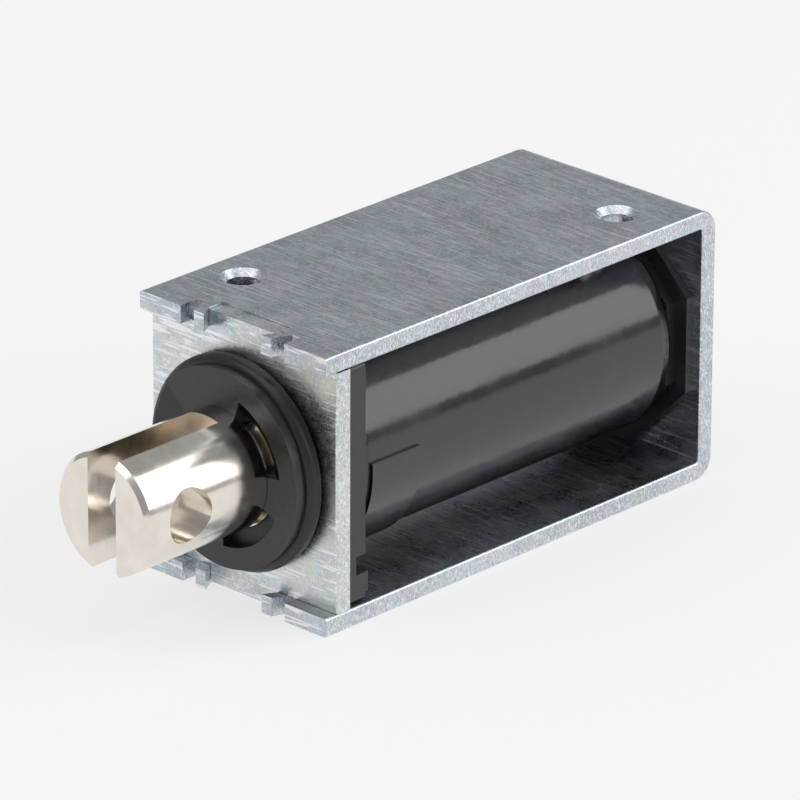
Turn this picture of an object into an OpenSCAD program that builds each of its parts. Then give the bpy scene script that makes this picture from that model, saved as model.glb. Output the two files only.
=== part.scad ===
// Open-frame push-pull solenoid with a clevis plunger.
// Millimetres, +Z up. The origin is the centre of the frame's bottom face.
// The plunger axis runs along Y, and the clevis end points along -Y.
// The plunger is drawn fully pulled in, with its push pin out at the back.

/* [Frame] */
// Length of the bent frame, from its front ends to its back face
frame_l = 57.5; // [50:0.5:70]
// Width of the frame strip
frame_w = 26; // [25:0.5:32]
// Height over the top and bottom plates
frame_h = 30; // [29:0.5:36]
// Thickness of the frame strip
sheet = 2; // [1.6:0.1:2.4]
// Inner radius of the two rear bends
bend_r = 0.4; // [0.2:0.1:1]
// Radius of the rolled edges of the strip and the front plate
edge_r = 0.3; // [0.1:0.05:0.5]

/* [Front plate] */
// Distance of the front plate behind the strip's front ends
front_set = 1.6; // [1:0.1:2.5]
// Thickness of the front plate
front_t = 2; // [1.6:0.1:2.6]
// Width of the two tabs that lock the front plate in the frame
tab_w = 9.6; // [7:0.2:12]
// Width of the slits punched beside each tab to stake it
slit_w = 1; // [0.6:0.1:1.4]
// Width of the slivers that are bent over the tabs
sliver_w = 1.4; // [1:0.1:2]
// Sideways reach of each sliver over its tab
sliver_lean = 0.9; // [0.3:0.1:1.2]

/* [Mounting holes] */
// Thread bore of the two mounting holes in the top plate
thread_d = 3.4; // [2.5:0.1:4.2]
// Outer diameter of the countersink at each mounting hole
sink_d = 4.8; // [4.4:0.1:6]
// Sideways distance between the two mounting holes
hole_dx = 15.2; // [12:0.2:17]
// Lengthways distance between the two mounting holes
hole_dy = 39; // [30:0.2:42]
// Shift of the pair of mounting holes to the left of the frame's middle
hole_left = 0.6; // [0:0.1:1.5]
// Shift of the pair of mounting holes to the back of the frame's middle
hole_back = 0.6; // [0:0.1:1.5]

/* [Plunger] */
// Diameter of the plunger
plunger_d = 13; // [12:0.1:13.6]
// Overall length of the plunger
plunger_l = 52; // [48:0.5:54]
// Reach of the plunger's clevis end beyond the frame's front ends
plunger_out = 18.2; // [16:0.2:24]
// Chamfer at the clevis end
end_chamfer = 0.5; // [0.2:0.1:1]
// Width of the clevis slot
slot_w = 3.9; // [2.5:0.1:5]
// Depth of the clevis slot from the clevis end
slot_l = 14.2; // [10:0.2:15]
// Diameter of the clevis cross hole
cross_d = 5.8; // [3:0.1:6.5]
// Distance of the cross hole from the clevis end
cross_set = 5.9; // [5:0.1:8]
// Radial clearance between the plunger and the guide tube
guide_gap = 0.08; // [0.03:0.01:0.1]
// Travel from the pulled-in position
stroke = 10; // [4:0.5:10.5]

/* [Retaining clip and bumper] */
// Outer diameter of the retaining clip
clip_d = 21.2; // [18:0.2:23]
// Thickness of the retaining clip
clip_t = 1.2; // [0.8:0.1:1.6]
// Radial width of the clip's outer ring
clip_ring = 2.3; // [1.5:0.1:2.6]
// Depth of the groove that the clip sits in
groove_depth = 1.5; // [1:0.1:2]
// Outer diameter of the rubber bumper
bumper_d = 22.8; // [20:0.2:24]
// Thickness of the rubber bumper
bumper_t = 2; // [1.4:0.1:3]
// Corner radius of the bumper's outer edge
bumper_r = 0.8; // [0.3:0.1:1]
// Turn of the clip about the plunger, from +X towards +Z
clip_turn = 172; // [0:1:359]

/* [Bobbin and coil] */
// Wall of the brass guide tube
tube_t = 0.5; // [0.3:0.05:0.8]
// Wall of the bobbin's core
core_wall = 1; // [0.8:0.05:1.3]
// Thickness of the bobbin's front flange
front_flange_t = 2.4; // [1.6:0.1:3]
// Thickness of the bobbin's rear flange
rear_flange_t = 1; // [0.8:0.1:2]
// Thickness of the raised pad on the rear flange
rear_pad_t = 1.3; // [0.8:0.1:2]
// Distance of the flange sides behind the frame's sides
flange_in = 0.4; // [0.2:0.1:1.2]
// Cut across the corners of the rear flange
rear_cut = 7.7; // [4:0.1:9]
// Outer diameter of the taped coil
coil_d = 23; // [21:0.2:23.6]
// Thickness of the outer tape
tape_t = 0.4; // [0.2:0.05:0.6]
// Length over which the coil rounds off at each end
coil_round = 1.8; // [1:0.1:3]

/* [Rear pole and push pin] */
// Diameter of the pole piece's rivet neck through the back plate
neck_d = 8; // [6:0.2:10]
// Diameter of the riveted head on the back plate
rivet_d = 10; // [9:0.2:12]
// Height of the riveted head
rivet_h = 0.8; // [0.4:0.1:1.2]
// Diameter of the push pin
pin_d = 3; // [2:0.1:4]
// Reach of the push pin behind the back plate, plunger fully out
pin_rest = 1; // [0.8:0.1:2]
// Depth of the push pin in the plunger
pin_in = 8; // [5:0.5:12]
// Thickness of the anti-residual washer
shim_t = 0.4; // [0.2:0.05:0.6]
// Half angle of the conical pole faces
cone_half = 30; // [25:1:45]
// Diameter of the plunger's flat inner end
nose_d = 6.8; // [6.4:0.2:8]

/* [Hidden] */
$fn = 96;
eps = 0.05;               // overshoot of every cut
seat_gap = 0.04;          // play between pieces that are fixed together
stop_gap = 0.1;           // bumper to front plate, plunger pulled in
run_gap = 0.1;            // play of the clip and bumper on the plunger
pole_gap = 0.6;           // air gap along the axis between the pole faces

// Stations along Y
y_front = -frame_l / 2;
y_back = frame_l / 2;
y_plate = y_front + front_set;
y_flange = y_plate + front_t;
y_coil = y_flange + front_flange_t;
y_wall = y_back - sheet;
y_rear_flange = y_wall - rear_flange_t;
y_pad = y_rear_flange - rear_pad_t;
y_clevis = y_front - plunger_out;
y_nose = y_clevis + plunger_l;
y_bumper = y_plate - stop_gap;
y_clip = y_bumper - bumper_t;

// Radii about the plunger axis
axis_z = frame_h / 2;
plunger_r = plunger_d / 2;
tube_r = plunger_r + guide_gap;
tube_out = tube_r + tube_t;
core_r = tube_out + seat_gap;
core_out = core_r + core_wall;
coil_r = coil_d / 2;
wind_r = coil_r - tape_t - seat_gap;
pole_r = tube_r - seat_gap;
pin_r = pin_d / 2;
nose_r = nose_d / 2;
mouth_r = pole_r - 0.6;
groove_r = plunger_r - groove_depth;

// Heights and widths inside the frame
inner_h = frame_h - 2 * sheet;
flange_hw = frame_w / 2 - flange_in;
flange_hh = inner_h / 2 - seat_gap;
cone_l = (plunger_r - nose_r) / tan(cone_half);

zinc = [0.74, 0.77, 0.80];
nickel = [0.80, 0.77, 0.71];
black_oxide = [0.16, 0.16, 0.17];
black_plastic = [0.09, 0.09, 0.10];

// Extrudes a flat X-Z outline, drawn about the plunger axis, from y0 to y1.
module along_y(y0, y1) {
    translate([0, y1, axis_z])
        rotate([90, 0, 0])
            linear_extrude(y1 - y0)
                children();
}

// Revolves an outline of [radius, y] points about the plunger axis.
module around_y() {
    translate([0, 0, axis_z])
        rotate([-90, 0, 0])
            rotate_extrude()
                children();
}

// A round bar or hole along the plunger axis.
module bar_y(r, y0, y1) {
    along_y(y0, y1) circle(r);
}

// A ring between two radii, from y0 to y1.
module ring_y(r_in, r_out, y0, y1) {
    along_y(y0, y1) difference() {
        circle(r_out);
        circle(r_in);
    }
}

// A centred rectangle with true round corners.
module rounded_rect(w, h, r) {
    square([w - 2 * r, h], center = true);
    square([w, h - 2 * r], center = true);
    for (x = [-1, 1], y = [-1, 1])
        translate([x * (w / 2 - r), y * (h / 2 - r)])
            circle(r, $fn = 32);
}

// A sector of a disc between two angles, used to cut arcs out of rings.
module sector(r, a0, a1) {
    steps = 12;
    polygon(concat([[0, 0]], [for (i = [0 : steps])
        let (a = a0 + (a1 - a0) * i / steps) [r * cos(a), r * sin(a)]]));
}

// Cross-section of the strip, its thickness along X and its width along Y.
module strip_section() {
    translate([sheet / 2, 0])
        rounded_rect(sheet, frame_w, edge_r);
}

// A straight run of the strip: outer face up at z = 0, from y0 to y1.
module strip_run(y0, y1) {
    translate([0, y1, -sheet])
        rotate([90, 0, 0])
            linear_extrude(y1 - y0)
                rotate([0, 0, 90])
                    strip_section();
}

// A quarter bend of the strip, from the top plate into the back plate.
module strip_bend() {
    rotate([0, 90, 0])
        rotate([0, 0, 90])
            rotate_extrude(angle = 90)
                translate([bend_r, 0])
                    strip_section();
}

// The opening at the front end of the strip that takes one tab: a pocket
// for the tab, a mouth narrowed by the bent slivers, and a slit beside each.
module tab_cut() {
    pocket_hw = tab_w / 2 + seat_gap;
    mouth_hw = pocket_hw - sliver_lean;
    slit_x = pocket_hw + sliver_w;
    pocket_l = front_t + 2 * seat_gap;
    linear_extrude(sheet + 2 * eps) {
        translate([-pocket_hw, front_set - seat_gap])
            square([2 * pocket_hw, pocket_l]);
        polygon([[-mouth_hw, -eps], [mouth_hw, -eps],
                 [pocket_hw, front_set], [-pocket_hw, front_set]]);
        for (side = [-1, 1])
            polygon([[side * (slit_x - sliver_lean), -eps], [side * (slit_x + slit_w), -eps],
                     [side * (slit_x + slit_w), front_set + 0.6], [side * slit_x, front_set + 0.6]]);
    }
}

// One tapped mounting hole with its countersink, opening upwards.
module mount_hole() {
    sink_h = (sink_d - thread_d) / 2;
    translate([0, 0, -sheet - eps])
        cylinder(d = thread_d, h = sheet + 2 * eps);
    translate([0, 0, -sink_h])
        cylinder(d1 = thread_d, d2 = sink_d + 2 * eps, h = sink_h + eps);
}

module c_frame() {
    bend_out = bend_r + sheet;
    color(zinc) difference() {
        union() {
            for (top = [0, 1]) {
                translate([0, 0, axis_z])
                    mirror([0, 0, 1 - top])
                        translate([0, 0, frame_h / 2]) {
                            strip_run(y_front, y_back - bend_out);
                            translate([0, y_back - bend_out, -bend_out])
                                strip_bend();
                        }
            }
            translate([0, y_back - sheet, bend_out])
                linear_extrude(frame_h - 2 * bend_out)
                    rotate([0, 0, 90])
                        strip_section();
        }
        for (z = [-eps, frame_h - sheet - eps])
            translate([0, y_front, z])
                tab_cut();
        for (side = [-1, 1])
            translate([side * hole_dx / 2 - hole_left, side * hole_dy / 2 + hole_back, frame_h])
                mount_hole();
        bar_y(neck_d / 2, y_wall - eps, y_back + eps);
    }
}

module front_plate() {
    plate_h = inner_h - 2 * seat_gap;
    tab_h = frame_h - 0.4;
    color(zinc) difference() {
        union() {
            intersection() {
                along_y(y_plate, y_flange)
                    square([frame_w, plate_h], center = true);
                translate([0, y_plate + front_t / 2, 0])
                    linear_extrude(frame_h)
                        rounded_rect(frame_w, front_t, edge_r);
            }
            along_y(y_plate, y_flange)
                rounded_rect(tab_w, tab_h, edge_r);
        }
        bar_y(tube_out + seat_gap, y_plate - eps, y_flange + eps);
    }
}

// Outline of the bobbin's rear flange: a rectangle with its corners cut.
module cut_rect(hw, hh, cut) {
    polygon([for (p = [[1, 1, 0], [1, 1, 1], [-1, 1, 1], [-1, 1, 0],
                       [-1, -1, 0], [-1, -1, 1], [1, -1, 1], [1, -1, 0]])
        [p[0] * (hw - p[2] * cut), p[1] * (hh - (1 - p[2]) * cut)]]);
}

module bobbin() {
    rear_hw = flange_hw - 0.8;
    lead_z = 6.2;
    notch_h = 2;
    lug_h = 2.2;
    color(black_plastic) difference() {
        union() {
            along_y(y_flange, y_coil)
                rounded_rect(2 * flange_hw, 2 * flange_hh, 0.8);
            ring_y(core_r, core_out, y_flange, y_wall);
            along_y(y_rear_flange, y_wall)
                cut_rect(rear_hw, flange_hh, rear_cut);
            along_y(y_pad, y_rear_flange)
                cut_rect(rear_hw - 1.6, flange_hh - 2, rear_cut - 1.2);
            translate([flange_hw - 2.4, y_flange, lead_z - notch_h / 2 - lug_h])
                cube([2.3, front_flange_t + 0.5, lug_h]);
        }
        bar_y(core_r, y_flange - eps, y_wall + eps);
        translate([flange_hw - 3.5, y_flange + 1.1, lead_z - notch_h / 2])
            cube([4, front_flange_t, notch_h]);
    }
}

module guide_tube() {
    color("#b5964f")
        ring_y(tube_r, tube_out, y_plate, y_wall);
}

// Half outline of a wound layer whose ends round off towards the core.
module layer(r_in, r_out, y0, y1) {
    drop = coil_round * 0.4;
    around_y() polygon([[r_in, y0], [r_out - drop, y0], [r_out - drop * 0.3, y0 + coil_round * 0.4],
        [r_out, y0 + coil_round], [r_out, y1 - coil_round],
        [r_out - drop * 0.3, y1 - coil_round * 0.4], [r_out - drop, y1], [r_in, y1]]);
}

module base_tape() {
    color("#c9b26a")
        ring_y(core_out + seat_gap, core_out + seat_gap + 0.2, y_coil + seat_gap, y_pad - seat_gap);
}

module winding() {
    color("#a8552a")
        layer(core_out + 0.2 + 2 * seat_gap, wind_r, y_coil + seat_gap, y_pad - seat_gap);
}

module outer_tape() {
    color([0.10, 0.10, 0.11]) difference() {
        layer(core_out + 1, coil_r, y_coil + seat_gap, y_pad - seat_gap);
        layer(core_out + 1 - eps, wind_r + seat_gap, y_coil, y_pad);
    }
}

// The strip of tape that holds down the lead joints, by the front flange.
module joint_patch() {
    patch_w = 7;
    color([0.13, 0.13, 0.14])
        along_y(y_coil + coil_round, y_coil + coil_round + patch_w)
            intersection() {
                difference() {
                    circle(coil_r + seat_gap + 0.35);
                    circle(coil_r + seat_gap);
                }
                sector(2 * coil_r, -75, 5);
            }
}

module pole_piece() {
    y_seat = y_nose + pole_gap;
    y_mouth = y_seat - (mouth_r - nose_r) / tan(cone_half);
    color("#8f9499") difference() {
        union() {
            bar_y(pole_r, y_mouth, y_wall - seat_gap);
            bar_y(neck_d / 2 - seat_gap, y_wall - eps - seat_gap, y_back + rivet_h / 2);
            around_y() polygon([[0, y_back], [rivet_d / 2, y_back], [rivet_d / 2, y_back + rivet_h / 2],
                [rivet_d / 2 - rivet_h / 2, y_back + rivet_h], [0, y_back + rivet_h]]);
        }
        around_y() polygon([[0, y_mouth - eps], [mouth_r + eps * tan(cone_half), y_mouth - eps],
            [nose_r, y_seat], [0, y_seat]]);
        bar_y(pin_r + guide_gap, y_seat - eps, y_back + rivet_h + eps);
    }
}

module pole_shim() {
    y_seat = y_nose + pole_gap;
    color("#b5964f")
        ring_y(pin_r + 2 * guide_gap, nose_r - 2 * guide_gap, y_seat - shim_t / 2, y_seat);
}

module plunger() {
    y_slot = y_clevis + slot_l;
    groove_w = clip_t + 2 * eps;
    color(nickel) difference() {
        around_y() polygon([[0, y_clevis], [plunger_r - end_chamfer, y_clevis],
            [plunger_r, y_clevis + end_chamfer],
            [plunger_r, y_clip - clip_t - eps], [groove_r, y_clip - clip_t - eps],
            [groove_r, y_clip - clip_t - eps + groove_w], [plunger_r, y_clip - clip_t - eps + groove_w],
            [plunger_r, y_nose - cone_l], [nose_r, y_nose], [0, y_nose]]);
        translate([-slot_w / 2, y_clevis - eps, axis_z - plunger_r - eps])
            cube([slot_w, slot_l + eps, plunger_d + 2 * eps]);
        translate([-plunger_r - eps, y_clevis + cross_set, axis_z])
            rotate([0, 90, 0])
                cylinder(d = cross_d, h = plunger_d + 2 * eps);
        bar_y(pin_r + seat_gap / 2, y_nose - pin_in, y_nose + eps);
    }
}

module push_pin() {
    y_tip = y_back + pin_rest + stroke;
    tip_chamfer = 0.4;
    color("#b9bcc0")
        around_y() polygon([[0, y_nose - pin_in], [pin_r, y_nose - pin_in],
            [pin_r, y_tip - tip_chamfer], [pin_r - tip_chamfer, y_tip], [0, y_tip]]);
}

// Opening, middle prong and the two gaps between them, as angles from the
// middle of the opening, which faces away from the middle prong.
module retaining_clip() {
    r_out = clip_d / 2;
    r_gap = r_out - clip_ring;
    r_grip = groove_r + run_gap;
    open_half = 35;
    prong_half = 16;
    gap_end = 100;
    color(black_oxide)
        along_y(y_clip - clip_t, y_clip)
            rotate([0, 0, clip_turn])
                difference() {
                    circle(r_out);
                    circle(r_grip);
                    sector(2 * r_out, -open_half, open_half);
                    for (side = [-1, 1])
                        intersection() {
                            circle(r_gap);
                            sector(2 * r_out, side * gap_end, side * (180 - prong_half));
                        }
                }
}

module rubber_bumper() {
    r_out = bumper_d / 2;
    color([0.06, 0.06, 0.065])
        around_y() {
            polygon([[plunger_r + run_gap, y_clip], [r_out - bumper_r, y_clip],
                [r_out - bumper_r, y_bumper], [plunger_r + run_gap, y_bumper]]);
            translate([r_out - 2 * bumper_r, y_clip + bumper_r])
                square([2 * bumper_r, bumper_t - 2 * bumper_r]);
            for (y = [y_clip + bumper_r, y_bumper - bumper_r])
                translate([r_out - bumper_r, y])
                    circle(bumper_r, $fn = 48);
        }
}

c_frame();
front_plate();
bobbin();
guide_tube();
base_tape();
winding();
outer_tape();
joint_patch();
pole_piece();
pole_shim();
plunger();
push_pin();
retaining_clip();
rubber_bumper();
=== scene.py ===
"""Open-frame push-pull solenoid: finishes, fine detail, floor, lights and camera."""
import math

import bpy
from mathutils import Matrix, Vector


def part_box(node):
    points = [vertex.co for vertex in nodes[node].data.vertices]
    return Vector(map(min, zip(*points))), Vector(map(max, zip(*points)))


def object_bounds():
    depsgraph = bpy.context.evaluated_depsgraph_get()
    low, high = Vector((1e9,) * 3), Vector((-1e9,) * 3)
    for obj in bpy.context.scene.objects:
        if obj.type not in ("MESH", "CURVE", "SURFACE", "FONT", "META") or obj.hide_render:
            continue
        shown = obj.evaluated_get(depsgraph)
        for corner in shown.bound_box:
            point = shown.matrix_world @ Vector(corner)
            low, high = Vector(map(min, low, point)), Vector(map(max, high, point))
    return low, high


MM = 0.001
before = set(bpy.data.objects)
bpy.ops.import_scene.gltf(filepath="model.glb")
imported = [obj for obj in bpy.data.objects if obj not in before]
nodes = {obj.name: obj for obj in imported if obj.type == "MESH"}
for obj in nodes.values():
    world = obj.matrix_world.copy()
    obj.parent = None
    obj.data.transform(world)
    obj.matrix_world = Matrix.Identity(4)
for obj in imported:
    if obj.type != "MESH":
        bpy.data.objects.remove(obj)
cad_low, cad_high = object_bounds()

# Height of the plunger axis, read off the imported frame, in metres.
frame_low, frame_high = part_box("c_frame")
axis_z = (frame_low.z + frame_high.z) / 2


# ---------------------------------------------------------------- materials


class Finish:
    """A Principled material with the node chains that vary it over the surface."""

    def __init__(self, name, **sockets):
        self.material = bpy.data.materials.new(name)
        self.material.use_nodes = True
        self.tree = self.material.node_tree
        self.shader = self.tree.nodes["Principled BSDF"]
        for socket, value in sockets.items():
            self.shader.inputs[socket.replace("_", " ")].default_value = value
        self.place = self.node("ShaderNodeTexCoord").outputs["Object"]

    def node(self, kind, inputs=None, **settings):
        """Adds a node, sets its settings, and sets or links its inputs."""
        made = self.tree.nodes.new(kind)
        for key, value in settings.items():
            setattr(made, key, value)
        for key, value in (inputs or {}).items():
            if isinstance(value, bpy.types.NodeSocket):
                self.tree.links.new(value, made.inputs[key])
            else:
                made.inputs[key].default_value = value
        return made

    def stretched(self, scale, turn=(0, 0, 0)):
        """The object's own coordinates in metres, turned and then scaled."""
        return self.node("ShaderNodeMapping",
                         {"Vector": self.place, "Rotation": turn, "Scale": scale}).outputs["Vector"]

    def grain(self, size, detail=3, rough=0.55, place=None, distort=0):
        """Noise whose lumps are about size metres across."""
        return self.node("ShaderNodeTexNoise",
                         {"Vector": place or self.place, "Scale": 1 / size, "Detail": detail,
                          "Roughness": rough, "Distortion": distort}).outputs["Fac"]

    def ramp(self, value, low, high, start=0.0, end=1.0):
        """Maps value from low..high to start..end, clamped."""
        return self.node("ShaderNodeMapRange",
                         {"Value": value, "From Min": low, "From Max": high,
                          "To Min": start, "To Max": end}).outputs["Result"]

    def sum(self, *values):
        total = values[0]
        for value in values[1:]:
            total = self.node("ShaderNodeMath", {0: total, 1: value}, operation="ADD").outputs[0]
        return total

    def times(self, a, b):
        return self.node("ShaderNodeMath", {0: a, 1: b}, operation="MULTIPLY").outputs[0]

    def mix(self, factor, a, b, blend="MIX"):
        """Mixes two colours, each given as a socket or as three numbers."""
        made = self.node("ShaderNodeMix", {0: factor}, data_type="RGBA", blend_type=blend)
        for key, value in ((6, a), (7, b)):
            if isinstance(value, bpy.types.NodeSocket):
                self.tree.links.new(value, made.inputs[key])
            else:
                made.inputs[key].default_value = (*value, 1)
        return made.outputs[2]

    def edges(self, radius):
        """1 on edges and corners, 0 on open faces, by the bevel of the normal."""
        bevel = self.node("ShaderNodeBevel", {"Radius": radius}, samples=4).outputs["Normal"]
        normal = self.node("ShaderNodeNewGeometry").outputs["Normal"]
        agree = self.node("ShaderNodeVectorMath", {0: bevel, 1: normal}, operation="DOT_PRODUCT")
        return self.ramp(agree.outputs["Value"], 1.0, 0.75)

    def scratches(self, size, turn, amount=0.1):
        """Sparse hairlines size metres wide along X, turned about Z by turn degrees."""
        scale = (1 / (size * 40), 1 / size, 1 / (size * 3))
        place = self.stretched(scale, (0, 0, math.radians(turn)))
        lines = self.node("ShaderNodeTexNoise", {"Vector": place, "Scale": 1.0, "Detail": 1}).outputs["Fac"]
        return self.ramp(lines, 0.72 - amount, 0.76 - amount)

    def finish(self, color, roughness, height, strength, depth):
        """Links the chains to the shader, with height as a bump depth metres deep."""
        bump = self.node("ShaderNodeBump", {"Height": height, "Strength": strength, "Distance": depth})
        self.tree.links.new(color, self.shader.inputs["Base Color"])
        self.tree.links.new(roughness, self.shader.inputs["Roughness"])
        self.tree.links.new(bump.outputs["Normal"], self.shader.inputs["Normal"])
        return self.material


def zinc_plate(name, tint, turn=0):
    """Bright zinc plate, scuffed in handling: mottled, with flecks and hairlines."""
    made = Finish(name, Metallic=1.0)
    cloud = made.grain(5 * MM, detail=3)
    fleck = made.grain(0.55 * MM, detail=3, distort=1.5)
    spangle = made.node("ShaderNodeTexVoronoi", {"Vector": made.place, "Scale": 900.0}).outputs["Color"]
    lines = made.sum(made.scratches(0.12 * MM, 100 + turn),
                     made.scratches(0.16 * MM, 62 + turn, 0.08),
                     made.scratches(0.14 * MM, -25 + turn, 0.07))
    dull = [channel * 0.78 for channel in tint]
    dark = [channel * 0.6 for channel in tint]
    pale = [min(1, channel * 1.25) for channel in tint]
    base = made.mix(made.ramp(cloud, 0.35, 0.65), dull, tint)
    base = made.mix(made.ramp(fleck, 0.52, 0.70), base, pale)
    base = made.mix(made.times(made.ramp(fleck, 0.46, 0.34), 0.5), base, dark)
    base = made.mix(0.06, base, spangle)
    base = made.mix(lines, base, (0.9, 0.92, 0.94))
    rough = made.sum(made.ramp(cloud, 0.3, 0.7, 0.24, 0.36), made.ramp(fleck, 0.3, 0.7, -0.04, 0.10))
    height = made.sum(fleck, made.times(cloud, 0.5), made.times(lines, -0.6))
    return made.finish(base, rough, height, strength=0.35, depth=0.03 * MM)


def nickel_plate(name):
    """Bright nickel with the fine turned marks of the bar under it."""
    made = Finish(name, Metallic=1.0)
    turned = made.grain(1.0, detail=2, place=made.stretched((60, 9000, 60)))
    cloud = made.grain(2.5 * MM)
    base = made.mix(made.ramp(cloud, 0.35, 0.7), (0.80, 0.74, 0.66), (0.88, 0.83, 0.76))
    rough = made.sum(made.ramp(cloud, 0.3, 0.7, 0.10, 0.20), made.ramp(turned, 0.3, 0.7, -0.02, 0.05))
    return made.finish(base, rough, made.sum(turned, made.times(cloud, 0.8)), strength=0.10, depth=0.02 * MM)


def black_oxide(name):
    """Blackened spring steel, satin, with a painted highlight that makes its stamped edges paler."""
    made = Finish(name, Specular_IOR_Level=0.6)
    cloud = made.grain(1.6 * MM)
    fine = made.grain(0.12 * MM, detail=2)
    base = made.mix(made.ramp(cloud, 0.35, 0.7), (0.012, 0.011, 0.011), (0.028, 0.026, 0.025))
    # Painted highlight: the stamped edges are painted paler to stand in for the light caught on their
    # chamfer.
    base = made.mix(made.times(made.edges(0.10 * MM), 0.5), base, (0.10, 0.095, 0.09))
    rough = made.ramp(cloud, 0.3, 0.7, 0.24, 0.40)
    return made.finish(base, rough, made.sum(fine, cloud), strength=0.2, depth=0.02 * MM)


def moulded(name, dark, pale, gloss, level):
    """Moulded black plastic or rubber with faint flow marks and a fine skin."""
    made = Finish(name, Specular_IOR_Level=level)
    cloud = made.grain(3 * MM)
    skin = made.grain(0.15 * MM, detail=2)
    base = made.mix(made.ramp(cloud, 0.3, 0.7), dark, pale)
    rough = made.sum(made.ramp(cloud, 0.3, 0.7, gloss - 0.06, gloss + 0.06),
                     made.ramp(skin, 0.3, 0.7, -0.03, 0.03))
    return made.finish(base, rough, made.sum(skin, made.times(cloud, 0.5)), strength=0.25, depth=0.02 * MM)


def film(name, dark, pale, gloss):
    """Glossy polyester tape pulled tight over the winding."""
    made = Finish(name, IOR=1.75)
    cloud = made.grain(4 * MM)
    speck = made.grain(0.3 * MM, detail=2)
    base = made.mix(made.ramp(cloud, 0.3, 0.7), dark, pale)
    rough = made.sum(made.ramp(cloud, 0.3, 0.7, gloss, gloss + 0.10),
                     made.ramp(speck, 0.62, 0.75, 0.0, 0.12))
    wires = made.grain(1.0, detail=1, place=made.stretched((30, 2600, 30)))
    return made.finish(base, rough, made.sum(cloud, made.times(wires, 0.12)), strength=0.5, depth=0.10 * MM)


def bar_metal(name, dark, pale, gloss):
    """Turned or drawn metal, with fine marks round the axis."""
    made = Finish(name, Metallic=1.0)
    turned = made.grain(1.0, detail=2, place=made.stretched((80, 7000, 80)))
    cloud = made.grain(3 * MM)
    base = made.mix(made.ramp(cloud, 0.3, 0.7), dark, pale)
    rough = made.sum(made.ramp(cloud, 0.3, 0.7, gloss - 0.05, gloss + 0.08),
                     made.ramp(turned, 0.3, 0.7, -0.03, 0.05))
    return made.finish(base, rough, turned, strength=0.25, depth=0.02 * MM)


finishes = {
    "c_frame": zinc_plate("zinc_plate", (0.62, 0.67, 0.72)),
    "front_plate": zinc_plate("zinc_plate_front", (0.72, 0.76, 0.76), turn=40),
    "bobbin": moulded("black_nylon", (0.014, 0.015, 0.016), (0.024, 0.025, 0.026), 0.30, 0.7),
    "guide_tube": bar_metal("drawn_brass", (0.66, 0.50, 0.22), (0.76, 0.60, 0.30), 0.28),
    "base_tape": film("amber_film", (0.50, 0.36, 0.12), (0.60, 0.45, 0.18), 0.3),
    "winding": bar_metal("enamelled_copper", (0.45, 0.16, 0.06), (0.62, 0.26, 0.11), 0.3),
    "outer_tape": film("black_tape", (0.008, 0.007, 0.009), (0.014, 0.012, 0.015), 0.12),
    "joint_patch": film("black_patch", (0.010, 0.010, 0.011), (0.018, 0.017, 0.018), 0.10),
    "pole_piece": bar_metal("pole_iron", (0.50, 0.53, 0.56), (0.66, 0.69, 0.72), 0.32),
    "pole_shim": bar_metal("shim_brass", (0.66, 0.50, 0.22), (0.76, 0.60, 0.30), 0.3),
    "plunger": nickel_plate("nickel_plate"),
    "push_pin": bar_metal("ground_steel", (0.62, 0.62, 0.62), (0.74, 0.74, 0.73), 0.18),
    "retaining_clip": black_oxide("black_oxide"),
    "rubber_bumper": moulded("black_rubber", (0.008, 0.008, 0.009), (0.014, 0.014, 0.015), 0.38, 0.5),
}
for name, material in finishes.items():
    mesh = nodes[name].data
    mesh.materials.clear()
    mesh.materials.append(material)


# ------------------------------------------------------------ floor and lights


def pale_floor():
    """A white floor that glows to the camera and in reflections, and keeps its shadow."""
    reach = 4.0
    glow_share = 0.72
    mesh = bpy.data.meshes.new("floor")
    corners = [(-reach, -reach, 0), (reach, -reach, 0), (reach, reach, 0), (-reach, reach, 0)]
    mesh.from_pydata(corners, [], [(0, 1, 2, 3)])
    floor = bpy.data.objects.new("floor", mesh)
    floor.location.z = cad_low.z - 0.02 * MM
    bpy.context.scene.collection.objects.link(floor)
    paper = (0.82, 0.82, 0.82, 1)
    made = Finish("floor_paper", Base_Color=paper, Roughness=0.9, Specular_IOR_Level=0.0)
    glow = made.node("ShaderNodeEmission", {"Color": (1, 1, 1, 1), "Strength": 1.0}).outputs[0]
    path = made.node("ShaderNodeLightPath").outputs
    seen = made.sum(path["Is Camera Ray"], path["Is Glossy Ray"], path["Is Transmission Ray"])
    share = made.times(made.ramp(seen, 0, 1), glow_share)
    both = made.node("ShaderNodeMixShader", {0: share, 1: made.shader.outputs[0], 2: glow})
    made.tree.links.new(both.outputs[0], made.tree.nodes["Material Output"].inputs["Surface"])
    mesh.materials.append(made.material)


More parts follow.
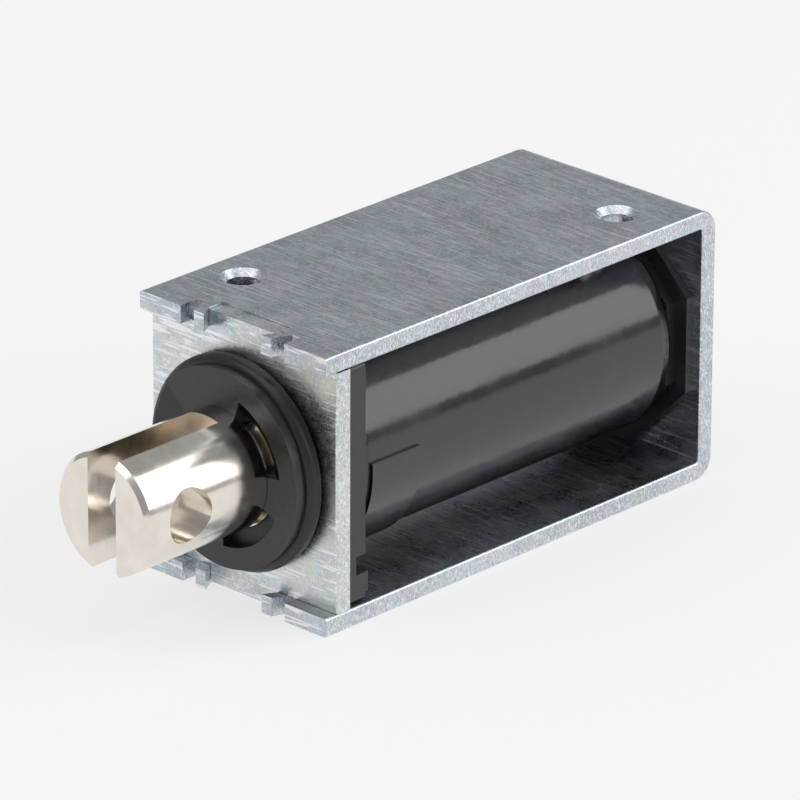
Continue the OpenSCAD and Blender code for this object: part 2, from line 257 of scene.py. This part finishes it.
def studio_world():
    """Dim grey surroundings, white behind the object."""
    world = bpy.data.worlds.new("studio")
    world.use_nodes = True
    tree = world.node_tree
    grey = tree.nodes["Background"]
    grey.inputs["Color"].default_value = (0.36, 0.37, 0.38, 1)
    white = tree.nodes.new("ShaderNodeBackground")
    path = tree.nodes.new("ShaderNodeLightPath")
    both = tree.nodes.new("ShaderNodeMixShader")
    tree.links.new(path.outputs["Is Camera Ray"], both.inputs[0])
    tree.links.new(grey.outputs[0], both.inputs[1])
    tree.links.new(white.outputs[0], both.inputs[2])
    tree.links.new(both.outputs[0], tree.nodes["World Output"].inputs["Surface"])
    white.inputs["Color"].default_value = (1, 1, 1, 1)
    bpy.context.scene.world = world


def direction(azimuth, elevation):
    """Unit vector away from the object, in degrees. Azimuth 0 is the front, -Y, and 90 is +X."""
    around = math.radians(azimuth)
    above = math.radians(elevation)
    return Vector((math.sin(around) * math.cos(above), -math.cos(around) * math.cos(above),
                   math.sin(above)))


def softbox(name, azimuth, elevation, distance, width, height, radiance):
    """An area light that faces the object, distance metres off."""
    data = bpy.data.lights.new(name, "AREA")
    data.shape = "RECTANGLE"
    data.size = width
    data.size_y = height
    data.energy = radiance * math.pi * width * height
    light = bpy.data.objects.new(name, data)
    away = direction(azimuth, elevation)
    light.location = Vector((0, 0, axis_z)) + away * distance
    light.rotation_mode = "QUATERNION"
    light.rotation_quaternion = (-away).to_track_quat("-Z", "Y")
    bpy.context.scene.collection.objects.link(light)


pale_floor()
studio_world()
softbox("side_softbox", 130, 30, 1.0, 1.1, 0.8, 1.7)
softbox("front_softbox", -20, 50, 1.1, 0.8, 0.6, 1.5)
softbox("top_softbox", 60, 82, 1.2, 0.7, 0.7, 1.6)


# ----------------------------------------------------------------------- camera


def studio_camera():
    """A long lens that looks down at the front right edge of the frame."""
    distance = 0.8125
    roll = math.radians(0.213)
    away = direction(43.681, 22.680)
    aim = Vector((0.56 * MM, -5.23 * MM, axis_z))
    data = bpy.data.cameras.new("camera")
    data.sensor_width = 36
    data.lens = 359.9
    data.clip_start = 0.01
    data.clip_end = 20
    camera = bpy.data.objects.new("camera", data)
    camera.location = aim + away * distance
    camera.rotation_mode = "QUATERNION"
    level = (-away).to_track_quat("-Z", "Y")
    camera.rotation_quaternion = level @ Matrix.Rotation(roll, 3, "Z").to_quaternion()
    bpy.context.scene.collection.objects.link(camera)
    bpy.context.scene.camera = camera


studio_camera()
bpy.context.scene.view_settings.view_transform = "Standard"
